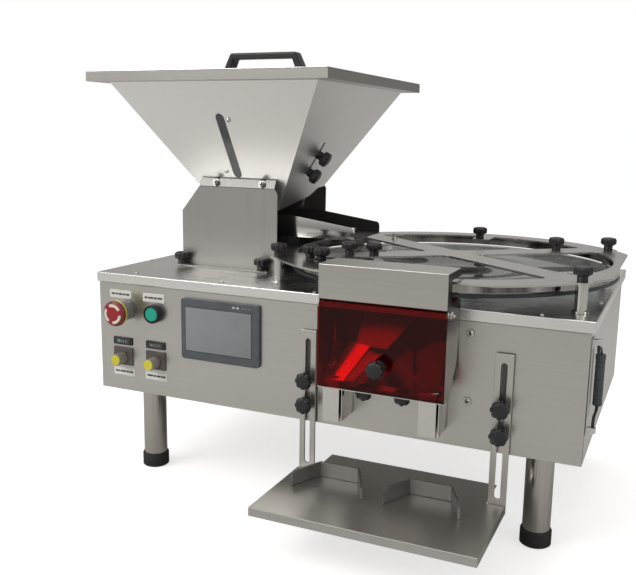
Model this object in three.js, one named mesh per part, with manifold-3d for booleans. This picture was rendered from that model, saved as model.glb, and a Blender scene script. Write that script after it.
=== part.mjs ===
// A desktop capsule counting and bottle filling machine: a hopper and a vibrating chute feed
// a turning glass disc, which carries the capsules under guides to two outlets above a
// bottle tray. Millimetres, +Z up, the operator stands on the -Y side.
import * as THREE from 'three';
import { mergeVertices } from 'three/addons/utils/BufferGeometryUtils.js';
import Module from 'manifold-3d';

const wasm = await Module();
wasm.setup();

// ---------------------------------------------------------------- driving dimensions
// X runs from the left edge of the top plate and Y from its front edge, until the last
// lines move the whole machine to its own origin.
const GAP = 0.3;
const SHEET = 1.5;
const TOP = { width: 760, depth: 456, z: 332, lip: 15, thick: 2 };
const CABINET = { inset: 5, bottom: 144, base: 146 };
const LEG = { radius: 19, footRadius: 21.5, footHeight: 23, x: [64, 696], y: [59, 397] };

const RING = { x: 516.5, y: 217, z: 373, thick: 3, radius: 280, inner: 240, flat: 251, front: -35 };
const POST = { dx: 217.5, y: [50, 384], radius: 8, ear: 14 };
const SPOKE = 46;
const DISC = { radius: 250, top: 356, thick: 6 };
const BAND = { radius: 249.5, thick: 1.5, bottom: 357 };
const SHAFT = { radius: 14, flange: 45, hole: 20 };

const HOPPER = { x: 181.7, y: 224.6, rim: 205.7, rimTop: 641.3, rimLow: 627.6, mouth: 181, neck: 55,
  neckZ: 427, wall: 1.8 };
const STAND = { x0: 78, x1: 255, y0: 134, y1: 315, bendZ: 466, cornerZ: 424, cornerX: 34, boltX: [142.8, 227],
  notch: 4.5 };
const CHUTE = { x0: 110, x1: 372, y0: 167, y1: 283, floor: 387.5, top: 422, sheet: 2 };
const SIGHT = { width: 15, low: 481, high: 581 };
const GATE = { y: 196, knobZ: [492, 520], travel: 15, stud: 3, low: 398, high: 540, halfWidth: 33 };

const HOOD = { x0: 413.5, x1: 590, front: -60, z0: 220, z1: 386, headZ: 339.5 };
const WINDOW = { thick: 3, top: 336.8, pivotY: -56, pivotZ: 333, notchZ: 329.5 };
const OUTLET = { x: [428, 564], width: 24, y0: -45, y1: -15, z0: 166, z1: 232 };

const TRAY = { x0: 361.5, x1: 664, front: -157, back: -7, top: 74, lip: 12, tongue: 58 };
const ARM = { x: [375, 652.5], width: 24, y0: -6, y1: -3, top: 280, slot: 8, slotLow: 82, slotHigh: 268 };
const TRAY_KNOB_Z = [173, 209];
const LOCATOR = { x: [434, 567], height: 21, thick: 3 };

const CONTROL = { left: 48.5, right: 110.5, buttonZ: 275.5, estopX: 57, knobZ: 197.5 };
const HMI = { x0: 161, x1: 295.5, z0: 212, z1: 306, proud: 5 };
const SCREEN = { x0: 168.5, x1: 282, z0: 225.5, z1: 292.5 };
const HANDLE = { x: 763, y: 18, reach: 40, z0: 192, z1: 300, grip: 6.5, wire: 2 };

// ---------------------------------------------------------------- materials
function material(colour, roughness, metalness) {
  return () => new THREE.MeshStandardMaterial({ color: colour, roughness, metalness });
}
const brushedSteel = material(0x9f9d96, 0.35, 1.0);
const brightSteel = material(0xc9c7c1, 0.25, 1.0);
const blackPlastic = material(0x151516, 0.5, 0.0);
const darkGlass = material(0x6f7f86, 0.12, 0.0);
const redAcrylic = material(0x7a0f18, 0.1, 0.0);
const greyPlastic = material(0x4b5157, 0.45, 0.0);
const screenGlass = material(0x7d8488, 0.15, 0.0);
const redPlastic = material(0xb51f28, 0.4, 0.0);
const greenPlastic = material(0x109a78, 0.4, 0.0);
const darkPlate = material(0x54504c, 0.5, 0.3);
const motorGrey = material(0x35383b, 0.5, 0.6);

// ---------------------------------------------------------------- shape helpers
function toSolid(geometry) {
  const bare = geometry.clone();
  bare.deleteAttribute('normal');
  bare.deleteAttribute('uv');
  const merged = mergeVertices(bare, 1e-4);
  const vertProperties = Float32Array.from(merged.attributes.position.array);
  const triVerts = Uint32Array.from(merged.index.array);
  return new wasm.Manifold(new wasm.Mesh({ numProp: 3, vertProperties, triVerts }));
}

function toGeometry(solid) {
  const mesh = solid.getMesh();
  const geometry = new THREE.BufferGeometry();
  geometry.setAttribute('position', new THREE.BufferAttribute(mesh.vertProperties, 3));
  geometry.setIndex(new THREE.BufferAttribute(mesh.triVerts, 1));
  geometry.computeVertexNormals();
  return geometry;
}

function joined(...solids) {
  return solids.reduce((sum, solid) => sum.add(solid));
}

function block([x0, x1], [y0, y1], [z0, z1]) {
  const geometry = new THREE.BoxGeometry(x1 - x0, y1 - y0, z1 - z0);
  geometry.translate((x0 + x1) / 2, (y0 + y1) / 2, (z0 + z1) / 2);
  return toSolid(geometry);
}

// Turns a geometry built around +Y so that its axis points along the given direction.
function aimed(geometry, direction, position) {
  const turn = new THREE.Quaternion();
  turn.setFromUnitVectors(new THREE.Vector3(0, 1, 0), direction);
  geometry.applyQuaternion(turn);
  geometry.translate(position.x, position.y, position.z);
  return geometry;
}

const UP = new THREE.Vector3(0, 0, 1);
const TO_OPERATOR = new THREE.Vector3(0, -1, 0);

// A round bar from one point along a direction.
function rod(radius, length, direction, start, sides = 24) {
  const geometry = new THREE.CylinderGeometry(radius, radius, length, sides);
  geometry.translate(0, length / 2, 0);
  return toSolid(aimed(geometry, direction, start));
}

// A turned piece: profile points are [radius, distance along the direction].
function turned(profile, direction, start, sides = 28) {
  const points = profile.map(([r, h]) => new THREE.Vector2(r, h));
  return toSolid(aimed(new THREE.LatheGeometry(points, sides), direction, start));
}

function outline(points) {
  return new THREE.Shape(points.map(([a, b]) => new THREE.Vector2(a, b)));
}

// A flat sheet parallel to the floor.
function slab(shape, z0, z1, curveSegments = 12) {
  const geometry = new THREE.ExtrudeGeometry(shape, { depth: z1 - z0, bevelEnabled: false, curveSegments });
  geometry.translate(0, 0, z0);
  return toSolid(geometry);
}

// A sheet parallel to the front panel: the shape's own axes are X and Z.
function frontSheet(shape, y0, y1, curveSegments = 8) {
  const geometry = new THREE.ExtrudeGeometry(shape, { depth: y1 - y0, bevelEnabled: false, curveSegments });
  geometry.rotateX(Math.PI / 2);
  geometry.translate(0, y1, 0);
  return toSolid(geometry);
}

// A sheet parallel to the side panels: the shape's own axes are Y and Z.
function sideSheet(shape, x0, x1, curveSegments = 8) {
  const geometry = new THREE.ExtrudeGeometry(shape, { depth: x1 - x0, bevelEnabled: false, curveSegments });
  const axes = new THREE.Matrix4();
  axes.makeBasis(new THREE.Vector3(0, 1, 0), UP, new THREE.Vector3(1, 0, 0));
  geometry.applyMatrix4(axes);
  geometry.translate(x0, 0, 0);
  return toSolid(geometry);
}

// A square frustum around the hopper's own axis.
function frustum(halfLow, halfHigh, z0, z1) {
  const geometry = new THREE.CylinderGeometry(halfHigh * Math.SQRT2, halfLow * Math.SQRT2, z1 - z0, 4, 1);
  geometry.rotateY(Math.PI / 4);
  geometry.rotateX(Math.PI / 2);
  geometry.translate(HOPPER.x, HOPPER.y, (z0 + z1) / 2);
  return toSolid(geometry);
}

// A rounded slot outline, standing upright.
function uprightSlot(x, z0, z1, width) {
  const half = width / 2;
  const shape = new THREE.Shape();
  shape.absarc(x, z1 - half, half, 0, Math.PI, false);
  shape.absarc(x, z0 + half, half, Math.PI, 2 * Math.PI, false);
  return shape;
}

// An eight-lobed clamp knob on a short neck, pointing along a direction.
const KNOB = { lobes: 8, radius: 12.5, dip: 1.6, neck: 7, neckLength: 8, head: 12 };
function starKnob(direction, start, neckLength = KNOB.neckLength) {
  const shape = new THREE.Shape();
  const steps = KNOB.lobes * 4;
  for (let i = 0; i < steps; i += 1) {
    const angle = (i / steps) * 2 * Math.PI;
    const r = KNOB.radius - KNOB.dip * (0.5 - 0.5 * Math.cos(KNOB.lobes * angle));
    if (i === 0) {
      shape.moveTo(r * Math.cos(angle), r * Math.sin(angle));
    } else {
      shape.lineTo(r * Math.cos(angle), r * Math.sin(angle));
    }
  }
  const head = new THREE.ExtrudeGeometry(shape, { depth: KNOB.head, bevelEnabled: false });
  head.rotateX(-Math.PI / 2);
  head.translate(0, neckLength, 0);
  const neck = new THREE.CylinderGeometry(KNOB.neck, KNOB.neck, neckLength + 1, 16);
  neck.translate(0, (neckLength + 1) / 2, 0);
  return joined(toSolid(aimed(head, direction, start)), toSolid(aimed(neck, direction, start)));
}

// ---------------------------------------------------------------- assembly
const machine = new THREE.Group();
function add(name, solid, makeMaterial) {
  const mesh = new THREE.Mesh(toGeometry(solid), makeMaterial());
  mesh.name = name;
  machine.add(mesh);
}
function at(x, y, z) {
  return new THREE.Vector3(x, y, z);
}

// ---------------------------------------------------------------- cabinet
function buildCabinet() {
  const { width, depth, z, lip, thick } = TOP;
  const { inset, bottom, base } = CABINET;
  const right = width - inset;
  const shellTop = z - thick - GAP;
  const lipLow = z - lip;

  const cover = block([0, width], [0, depth], [lipLow, z]);
  const under = block([SHEET, width - SHEET], [SHEET, depth - SHEET], [lipLow - 1, z - thick]);
  const shaftHole = rod(SHAFT.hole, 20, UP, at(RING.x, RING.y, z - 10), 32);
  add('top_plate', cover.subtract(under).subtract(shaftHole), brushedSteel);

  let front = block([inset, right], [0, SHEET], [bottom, lipLow - 0.4]);
  front = front.subtract(block([HMI.x0 + 5, HMI.x1 - 5], [-1, 3], [HMI.z0 + 5, HMI.z1 - 5]));
  const holes = [[CONTROL.estopX, CONTROL.buttonZ, 11.4], [CONTROL.right, CONTROL.buttonZ, 11.4],
    [CONTROL.left, CONTROL.knobZ, 4], [CONTROL.right, CONTROL.knobZ, 4]];
  for (const [x, holeZ, radius] of holes) {
    front = front.subtract(rod(radius, 6, TO_OPERATOR, at(x, 4, holeZ)));
  }
  add('front_panel', front, brushedSteel);

  const inY = [SHEET + GAP, depth - 2 * SHEET - 2 * GAP];
  add('left_side_panel', block([inset, inset + SHEET], inY, [bottom, shellTop]), brushedSteel);
  add('right_side_panel', block([right - SHEET, right], inY, [bottom, shellTop]), brushedSteel);
  const rearY = [depth - 2 * SHEET - GAP, depth - SHEET - GAP];
  add('rear_panel', block([inset, right], rearY, [bottom, shellTop]), brushedSteel);
  const baseX = [inset + SHEET + GAP, right - SHEET - GAP];
  add('base_plate', block(baseX, inY, [base, base + 2]), brushedSteel);
}

function buildLegs() {
  const sides = ['left', 'right'];
  const rows = ['front', 'rear'];
  const top = CABINET.base - GAP;
  const bore = LEG.radius - SHEET;
  const profile = [[0, 0], [LEG.footRadius, 0], [LEG.footRadius, LEG.footHeight],
    [LEG.radius, LEG.footHeight],
    [LEG.radius, top], [bore, top], [bore, LEG.footHeight / 2], [0, LEG.footHeight / 2]];
  LEG.y.forEach((y, row) => {
    LEG.x.forEach((x, side) => {
      add(`leg_${rows[row]}_${sides[side]}`, turned(profile, UP, at(x, y, 0)), brushedSteel);
    });
  });
}

// ---------------------------------------------------------------- turntable
function ringOpening(fromAngle, toAngle) {
  // One window between two spokes: an arc of the inner circle and two straight spoke edges.
  const half = Math.asin(SPOKE / 2 / RING.inner);
  const start = fromAngle + half;
  const end = toAngle - half;
  const spread = (end - start) / 2 + half;
  const middle = (start + end) / 2;
  const tip = (SPOKE / 2) / Math.sin(spread);
  const arcSteps = 12;
  const round = 0.06;
  const shape = new THREE.Shape();
  const rim = (angle, radius = RING.inner) =>
    [RING.x + radius * Math.cos(angle), RING.y + radius * Math.sin(angle)];
  const corner = 14;
  shape.moveTo(...rim(start + round));
  for (let i = 1; i <= arcSteps; i += 1) {
    shape.lineTo(...rim(start + round + ((end - start - 2 * round) * i) / arcSteps));
  }
  const tipPoint = rim(middle, tip);
  const endPoint = rim(end);
  const startPoint = rim(start);
  const towards = (from, to, share) =>
    [from[0] + (to[0] - from[0]) * share, from[1] + (to[1] - from[1]) * share];
  const reach = RING.inner - tip;
  const cut = corner / reach;
  shape.quadraticCurveTo(...endPoint, ...towards(endPoint, tipPoint, cut));
  shape.lineTo(...towards(tipPoint, endPoint, cut));
  shape.quadraticCurveTo(...tipPoint, ...towards(tipPoint, startPoint, cut));
  shape.lineTo(...towards(startPoint, tipPoint, cut));
  shape.quadraticCurveTo(...startPoint, ...rim(start + round));
  return shape;
}

function postPlaces() {
  const places = [];
  POST.y.forEach((y, row) => {
    [-1, 1].forEach((side) => {
      const name = `${row === 0 ? 'front' : 'rear'}_${side < 0 ? 'left' : 'right'}`;
      places.push({ name, x: RING.x + side * POST.dx, y });
    });
  });
  return places;
}

// Where the guides under the ring are hung from it.
const HANGERS = { outer: [[347, 58], [373, 40]], inner: [[385, 118], [421, 128]] };

function buildTurntable() {
  const low = RING.z - RING.thick;
  const places = postPlaces();
  let ring = rod(RING.radius, RING.thick, UP, at(RING.x, RING.y, low), 96);
  const limit = [RING.x - RING.flat, RING.x + RING.flat];
  ring = ring.intersect(block(limit, [RING.front, 600], [low - 1, RING.z + 1]));
  for (const { x, y } of places) {
    ring = ring.add(rod(POST.ear, RING.thick, UP, at(x, y, low), 24));
  }
  const angles = places.map(({ x, y }) => Math.atan2(y - RING.y, x - RING.x));
  const [frontLeft, frontRight, rearLeft, rearRight] = angles;
  const windows = [[frontLeft, frontRight], [frontRight, rearRight], [rearRight, rearLeft],
    [rearLeft, frontLeft + 2 * Math.PI]];
  for (const [from, to] of windows) {
    ring = ring.subtract(slab(ringOpening(from, to), low - 1, RING.z + 1));
  }
  const tab = block([RING.x - 15, RING.x + 15], [RING.y + 195, RING.y + RING.inner + 5], [low, RING.z]);
  ring = ring.add(tab);
  for (const [x, y] of [...HANGERS.outer, ...HANGERS.inner]) {
    ring = ring.subtract(rod(4, 10, UP, at(x, y, low - 3), 16));
  }
  add('ring_plate', ring, brushedSteel);

  for (const { name, x, y } of places) {
    const height = low - GAP - TOP.z - GAP;
    add(`post_${name}`, rod(POST.radius, height, UP, at(x, y, TOP.z + GAP), 24), brightSteel);
  }

  const bandHeight = low - GAP - BAND.bottom;
  const shell = rod(BAND.radius, bandHeight, UP, at(RING.x, RING.y, BAND.bottom), 96);
  const inside = rod(BAND.radius - BAND.thick, bandHeight + 2, UP, at(RING.x, RING.y, BAND.bottom - 1), 96);
  const exit = block([HOOD.x0 + 8, HOOD.x1 - 8], [-80, 60], [BAND.bottom - 1, RING.z]);
  add('guard_band', shell.subtract(inside).subtract(exit), brightSteel);

  const discLow = DISC.top - DISC.thick;
  add('turntable_disc', rod(DISC.radius, DISC.thick, UP, at(RING.x, RING.y, discLow), 96), darkGlass);
  const motorTop = 232;
  const shaftLow = motorTop + GAP;
  const shaftTop = discLow - GAP;
  const flangeLow = shaftTop - 6;
  add('drive_shaft', turned([[0, shaftLow], [SHAFT.radius, shaftLow], [SHAFT.radius, flangeLow],
    [SHAFT.flange, flangeLow], [SHAFT.flange, shaftTop], [0, shaftTop]],
  UP, at(RING.x, RING.y, 0)), brightSteel);
  const base = CABINET.base + 2 + GAP;
  const gearbox = block([RING.x - 45, RING.x + 45], [RING.y - 45, RING.y + 45], [base, motorTop]);
  const motor = rod(38, 90, new THREE.Vector3(1, 0, 0), at(RING.x + 40, RING.y, base + 40), 24);
  add('turntable_gearmotor', joined(gearbox, motor), motorGrey);
}

// A curved upright strip that follows a list of plan points, with its hanger stems and knobs.
function guideStrip(plan, hangers) {
  const half = 1;
  const outer = [];
  const inner = [];
  plan.forEach(([x, y], i) => {
    const before = plan[Math.max(i - 1, 0)];
    const after = plan[Math.min(i + 1, plan.length - 1)];
    const along = new THREE.Vector2(after[0] - before[0], after[1] - before[1]).normalize();
    outer.push([x - along.y * half, y + along.x * half]);
    inner.unshift([x + along.y * half, y - along.x * half]);
  });
  const low = DISC.top + 2;
  const high = RING.z - RING.thick - GAP;
  let strip = slab(outline([...outer, ...inner].reverse()), low, high);
  for (const [x, y] of hangers) {
    strip = strip.add(rod(9, 3, UP, at(x, y, high - 3), 16));
    strip = strip.add(rod(3.5, RING.z + 3 - high, UP, at(x, y, high - 1), 12));
    strip = strip.add(starKnob(UP, at(x, y, RING.z + 1), 7));
  }
  return strip;
}

function arcPlan(radius, fromDegrees, toDegrees, steps) {
  const plan = [];
  for (let i = 0; i <= steps; i += 1) {
    const angle = THREE.MathUtils.degToRad(fromDegrees + ((toDegrees - fromDegrees) * i) / steps);
    plan.push([RING.x + radius * Math.cos(angle), RING.y + radius * Math.sin(angle)]);
  }
  return plan;
}

function buildGuides() {
  add('guide_outer', guideStrip(arcPlan(231, 200, 248, 12), HANGERS.outer), brightSteel);
  const innerPlan = arcPlan(164, 185, 216, 8);
  innerPlan.push([402, 118], [421, 125], [446, 70], [458, 10]);
  add('guide_inner', guideStrip(innerPlan, HANGERS.inner), brightSteel);
}

// ---------------------------------------------------------------- hopper and its stand
function hopperWall() {
  const { neck, mouth, neckZ, rimLow, wall } = HOPPER;
  const outer = frustum(neck, mouth, neckZ, rimLow + SHEET);
  const rise = (mouth - neck) / (rimLow + SHEET - neckZ);
  const inner = frustum(neck - wall - rise, mouth - wall + rise, neckZ - 1, rimLow + SHEET + 1);
  return outer.subtract(inner);
}

function buildHopper() {
  const { x, y, rim, rimTop, rimLow, mouth, neck, neckZ, wall } = HOPPER;
  const square = (half, z0, z1) => block([x - half, x + half], [y - half, y + half], [z0, z1]);
  const shell = hopperWall();
  const brim = square(rim, rimLow, rimTop).subtract(square(rim - SHEET, rimLow + SHEET, rimTop + 1));
  let funnel = shell.add(brim.subtract(square(mouth - wall, rimLow - 1, rimTop)));
  const frontWall = [y - 170, y - 60];
  funnel = funnel.subtract(frontSheet(uprightSlot(x, SIGHT.low, SIGHT.high, SIGHT.width), ...frontWall));
  const studClear = GATE.stud + GAP;
  const gateSlot = block([x + neck, x + mouth], [GATE.y - studClear, GATE.y + studClear],
    [GATE.knobZ[0] - 1.2 * studClear, GATE.knobZ[1] + 1.2 * studClear + GATE.travel]);
  funnel = funnel.subtract(gateSlot);
  const mouthCut = outline([[160, 400], [300, 400], [300, 462], [280, 460], [262, 447],
    [215, 437], [160, 426]]);
  funnel = funnel.subtract(sideSheet(mouthCut, x + neck - 8, x + neck + 60));
  add('hopper_funnel', funnel, brightSteel);

  const paneShape = uprightSlot(x, SIGHT.low + GAP, SIGHT.high - GAP, SIGHT.width - 2 * GAP);
  const pane = frontSheet(paneShape, ...frontWall);
  add('sight_window', hopperWall().intersect(pane), greyPlastic);

  const lidLow = rimTop + GAP;
  const skirt = square(rim - SHEET - 1, rimTop - 7, lidLow + 0.5);
  const skirtInside = square(rim - 2 * SHEET - 1, rimTop - 8, lidLow);
  add('hopper_lid', square(rim, lidLow, lidLow + SHEET).add(skirt.subtract(skirtInside)), brushedSteel);
  const handleLow = lidLow + SHEET + GAP;
  const handle = outline([[-81, handleLow], [-61, 684], [61, 684], [81, handleLow], [66, handleLow],
    [54, 674], [-54, 674], [-66, handleLow]].map(([dx, z]) => [x + dx, z]));
  add('lid_handle', frontSheet(handle, y - 11, y + 11), blackPlastic);

  // The flow gate slides on the inside of the right wall and is clamped from outside.
  const slope = Math.atan((mouth - neck) / (rimLow + SHEET - neckZ));
  const alongWall = new THREE.Vector3(Math.sin(slope), 0, Math.cos(slope));
  const outward = new THREE.Vector3(Math.cos(slope), 0, -Math.sin(slope));
  const wallX = (z) => x + neck + (z - neckZ) * Math.tan(slope);
  const plateMiddle = (GATE.low + GATE.high) / 2;
  const plate = new THREE.BoxGeometry(2, 2 * GATE.halfWidth, (GATE.high - GATE.low) / Math.cos(slope));
  plate.rotateY(slope);
  const depthInside = wall + 2.4;
  plate.translate(wallX(plateMiddle) - depthInside / Math.cos(slope), y - 2, plateMiddle);
  let gate = toSolid(plate);
  for (const z of GATE.knobZ) {
    const onWall = at(wallX(z), GATE.y, z);
    const inside = onWall.clone().addScaledVector(outward, -depthInside);
    gate = gate.add(rod(GATE.stud, depthInside + 4, outward, inside, 12));
    gate = gate.add(starKnob(outward, onWall.clone().addScaledVector(outward, 1), 6));
  }
  add('flow_gate', gate, blackPlastic);
}

function buildStand() {
  const { x0, x1, y0, y1, bendZ, cornerZ, cornerX } = STAND;
  const base = TOP.z + GAP;
  const face = outline([[x0, base], [x1, base], [x1, bendZ - 8], [x1 - 5, bendZ], [x0 + cornerX, bendZ],
    [x0, cornerZ]]);
  const flangeRun = 15;
  const rise = 13;
  const lean = 6;
  const flange = (yBend, side) => {
    // The top edge is bent inwards to meet the hopper's sloping face.
    const shift = -side * lean;
    const shape = outline([[yBend, bendZ - 1], [yBend + 2, bendZ - 1], [yBend + 2 + shift, bendZ + rise],
      [yBend + shift, bendZ + rise]]);
    return sideSheet(shape, x0 + cornerX, x1 - 5);
  };
  const foot = (fy0, fy1) => block([x0 + 2, x1 - 12], [fy0, fy1], [base, base + 2]);
  const clear = 5.5;
  const frontY = y0 - clear;
  let front = joined(frontSheet(face, frontY, frontY + 2), flange(frontY, -1),
    foot(frontY - 12, frontY + 1));
  // The flange hooks over its two bolts with open notches.
  for (const x of STAND.boltX) {
    front = front.subtract(block([x - STAND.notch, x + STAND.notch], [frontY, frontY + flangeRun],
      [bendZ + 6, bendZ + flangeRun]));
  }
  add('stand_front_plate', front, brushedSteel);
  const rearY = y1 + clear - 2;
  const side = block([x0, x0 + 2], [frontY + 2 + GAP, rearY + 1], [base, cornerZ]);
  const rear = joined(frontSheet(face, rearY, rearY + 2), flange(rearY, 1),
    foot(rearY + 1, rearY + 14), side);
  add('stand_rear_plate', rear, brushedSteel);
}

// ---------------------------------------------------------------- vibrating chute
function buildChute() {
  const { x0, x1, y0, y1, floor, top, sheet } = CHUTE;
  let trough = block([x0, x1], [y0, y1], [floor, top]);
  trough = trough.subtract(block([x0 + sheet, x1 + 1], [y0 + sheet, y1 - sheet], [floor + sheet, top + 1]));
  const slant = outline([[262, top], [x1 - 7, 407], [x1 - 2, 403.5], [x1, 398], [x1 + 5, 398],
    [x1 + 5, top + 5], [262, top + 5]]);
  trough = trough.subtract(frontSheet(slant, y0 - 5, y1 + 5));
  add('chute_trough', trough, brightSteel);

  const base = TOP.z + GAP;
  const blockTop = 350;
  const springTop = floor - GAP;
  const lean = (springTop - blockTop) * Math.tan(THREE.MathUtils.degToRad(20));
  let mount = block([132, 252], [195, 255], [base, blockTop]);
  for (const x of [140, 226]) {
    const leaf = outline([[x, blockTop - 1], [x + 2.4, blockTop - 1],
      [x + 2.4 + lean, springTop], [x + lean, springTop]]);
    mount = mount.add(frontSheet(leaf, 200, 250));
  }
  add('vibrator_base', mount.add(block([180, 212], [208, 242], [blockTop - 1, 379])), motorGrey);
}

// ---------------------------------------------------------------- counting head
function buildHead() {
  const { x0, x1, front, z0, z1, headZ } = HOOD;
  const back = -GAP;
  const frontInside = front + SHEET;
  const notch = -44;
  const side = outline([[frontInside, z0], [front + 24, z0], [back - 6, 262], [back, 300], [back, 346],
    [notch, 346], [notch, 376], [back, 376], [back, z1], [frontInside, z1]]);
  const cap = block([x0, x1], [front, back], [z1 - SHEET, z1]);
  const brow = block([x0, x1], [front, frontInside], [headZ, z1]);
  const hood = joined(sideSheet(side, x0, x0 + SHEET), sideSheet(side, x1 - SHEET, x1), cap, brow);
  add('counting_hood', hood, brushedSteel);

  const windowBack = front - 2 + WINDOW.thick;
  // Its top corners are notched, so that they swing between the hood's sides.
  const barX = [x0 + SHEET + GAP, x1 - SHEET - GAP];
  const lower = block([x0, x1], [front - 2, windowBack], [z0 + 1, WINDOW.notchZ]);
  const upper = block(barX, [front - 2, windowBack], [WINDOW.notchZ - 1, WINDOW.top]);
  add('red_window', lower.add(upper), redAcrylic);
  const bar = block(barX, [windowBack + GAP, WINDOW.pivotY + 3], [WINDOW.pivotZ - 4, WINDOW.pivotZ + 3.5]);
  add('window_hinge_bar', bar, brightSteel);
  add('window_knob', starKnob(TO_OPERATOR, at(503, front - 2 - GAP, 257), 6), blackPlastic);

  const names = ['left', 'right'];
  OUTLET.x.forEach((x, i) => {
    const half = OUTLET.width / 2;
    const tube = block([x - half, x + half], [OUTLET.y0, OUTLET.y1], [OUTLET.z0, OUTLET.z1]);
    const bore = block([x - half + SHEET, x + half - SHEET], [OUTLET.y0 + SHEET, OUTLET.y1 - SHEET],
      [OUTLET.z0 - 1, OUTLET.z1 + 1]);
    const bracket = block([x - half, x + half], [OUTLET.y1 - 1, -GAP], [OUTLET.z0 + 60, OUTLET.z0 + 62]);
    add(`outlet_channel_${names[i]}`, tube.subtract(bore).add(bracket), brightSteel);
  });
}

// ---------------------------------------------------------------- bottle tray
function buildTray() {
  const { x0, x1, front, back, top, lip, tongue } = TRAY;
  const inner = [ARM.x[0] + ARM.width / 2 + 1, ARM.x[1] - ARM.width / 2 - 1];
  const pan = block([x0, x1], [front, back], [top - lip, top]);
  const hollow = block([x0 + SHEET, x1 - SHEET], [front + SHEET, back + 1], [top - lip - 1, top - SHEET]);
  const rear = block(inner, [back - 1, tongue], [top - SHEET, top]);
  add('bottle_tray', pan.subtract(hollow).add(rear), brushedSteel);

  const names = ['left', 'right'];
  ARM.x.forEach((x, i) => {
    const half = ARM.width / 2;
    const bar = block([x - half, x + half], [ARM.y0, ARM.y1], [top - lip, ARM.top]);
    const slot = frontSheet(uprightSlot(x, ARM.slotLow, ARM.slotHigh, ARM.slot), ARM.y0 - 1, ARM.y1 + 1);
    add(`tray_arm_${names[i]}`, bar.subtract(slot), brushedSteel);
    TRAY_KNOB_Z.forEach((z, k) => {
      const knob = starKnob(TO_OPERATOR, at(x, ARM.y0 - GAP, z), 9);
      const stud = rod(2.4, 1 - ARM.y0, TO_OPERATOR, at(x, -GAP, z), 12);
      add(`tray_knob_${names[i]}_${k === 0 ? 'lower' : 'upper'}`, knob.add(stud), blackPlastic);
    });
  });

  LOCATOR.x.forEach((x, i) => {
    const low = top + GAP;
    const high = low + LOCATOR.height;
    const plan = [[-50, -72], [-28, -24], [28, -24], [50, -72]];
    const t = LOCATOR.thick;
    const back2 = plan.map(([dx, y]) => [x + dx * 1.06, y + t]).reverse();
    const wings = outline([...plan.map(([dx, y]) => [x + dx, y]), ...back2]);
    const foot = block([x - 12, x + 20], [-24 + t - 1, 14], [low, low + 2]);
    let locator = slab(wings, low, high);
    for (const side of [-1, 1]) {
      // The wing's outer top corner is cut off.
      const corner = outline([[x + side * 46, high + 1], [x + side * 55, high + 1], [x + side * 55, high - 9]]);
      locator = locator.subtract(frontSheet(corner, -90, 0));
    }
    add(`bottle_locator_${names[i]}`, locator.add(foot), darkPlate);
  });
}

// ---------------------------------------------------------------- controls
function buildControls() {
  const face = -GAP;
  const { estopX, left, right, buttonZ, knobZ } = CONTROL;

  const collar = turned([[5, 0], [11, 0], [11, 30], [15, 30], [15, 51], [5, 51], [5, 0]], TO_OPERATOR,
    at(estopX, 30 + face, buttonZ));
  add('estop_base', collar, blackPlastic);
  add('estop_plunger', rod(4.5, 52, TO_OPERATOR, at(estopX, 25, buttonZ), 16), greyPlastic);
  add('estop_head', turned([[0, 27.3], [12, 27.3], [20, 29.5], [20, 34], [14, 37], [0, 37]], TO_OPERATOR,
    at(estopX, 0, buttonZ)), redPlastic);

  add('start_bezel', turned([[0, 0], [11, 0], [11, 30], [14.5, 30], [14.5, 42.5], [11.7, 42.5],
    [11.7, 31.5], [0, 31.5]], TO_OPERATOR, at(right, 30 + face, buttonZ)), blackPlastic);
  add('start_button', rod(11.2, 6.8, TO_OPERATOR, at(right, -5.4, buttonZ), 28), greenPlastic);

  const names = ['left', 'right'];
  [left, right].forEach((x, i) => {
    const display = block([x - 17.5, x + 17.5], [-2.5, face], [218.5, 230.5]);
    add(`speed_display_${names[i]}`, display, blackPlastic);
    const plate = block([x - 17.75, x + 17.75], [-2.3, face], [185.5, 214.5]);
    add(`speed_plate_${names[i]}`, plate.subtract(rod(4, 6, TO_OPERATOR, at(x, 2, knobZ))), darkPlate);
    add(`speed_knob_${names[i]}`, turned([[0, -12], [3, -12], [3, 2.7], [9, 2.7], [9, 13],
      [7.5, 14], [7.5, 23], [0, 23]], TO_OPERATOR, at(x, 0, knobZ), 24), motorGrey);
  });

  const bezel = block([HMI.x0, HMI.x1], [-HMI.proud, face], [HMI.z0, HMI.z1]);
  const body = block([HMI.x0 + 7, HMI.x1 - 7], [face - 1, 30], [HMI.z0 + 7, HMI.z1 - 7]);
  const recess = block([SCREEN.x0 - GAP, SCREEN.x1 + GAP], [-HMI.proud - 1, -HMI.proud + 1],
    [SCREEN.z0 - GAP, SCREEN.z1 + GAP]);
  add('touch_panel', joined(bezel, body).subtract(recess), greyPlastic);
  add('touch_screen', block([SCREEN.x0, SCREEN.x1], [-HMI.proud, -HMI.proud + 0.7], [SCREEN.z0, SCREEN.z1]),
    screenGlass);
}

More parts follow.
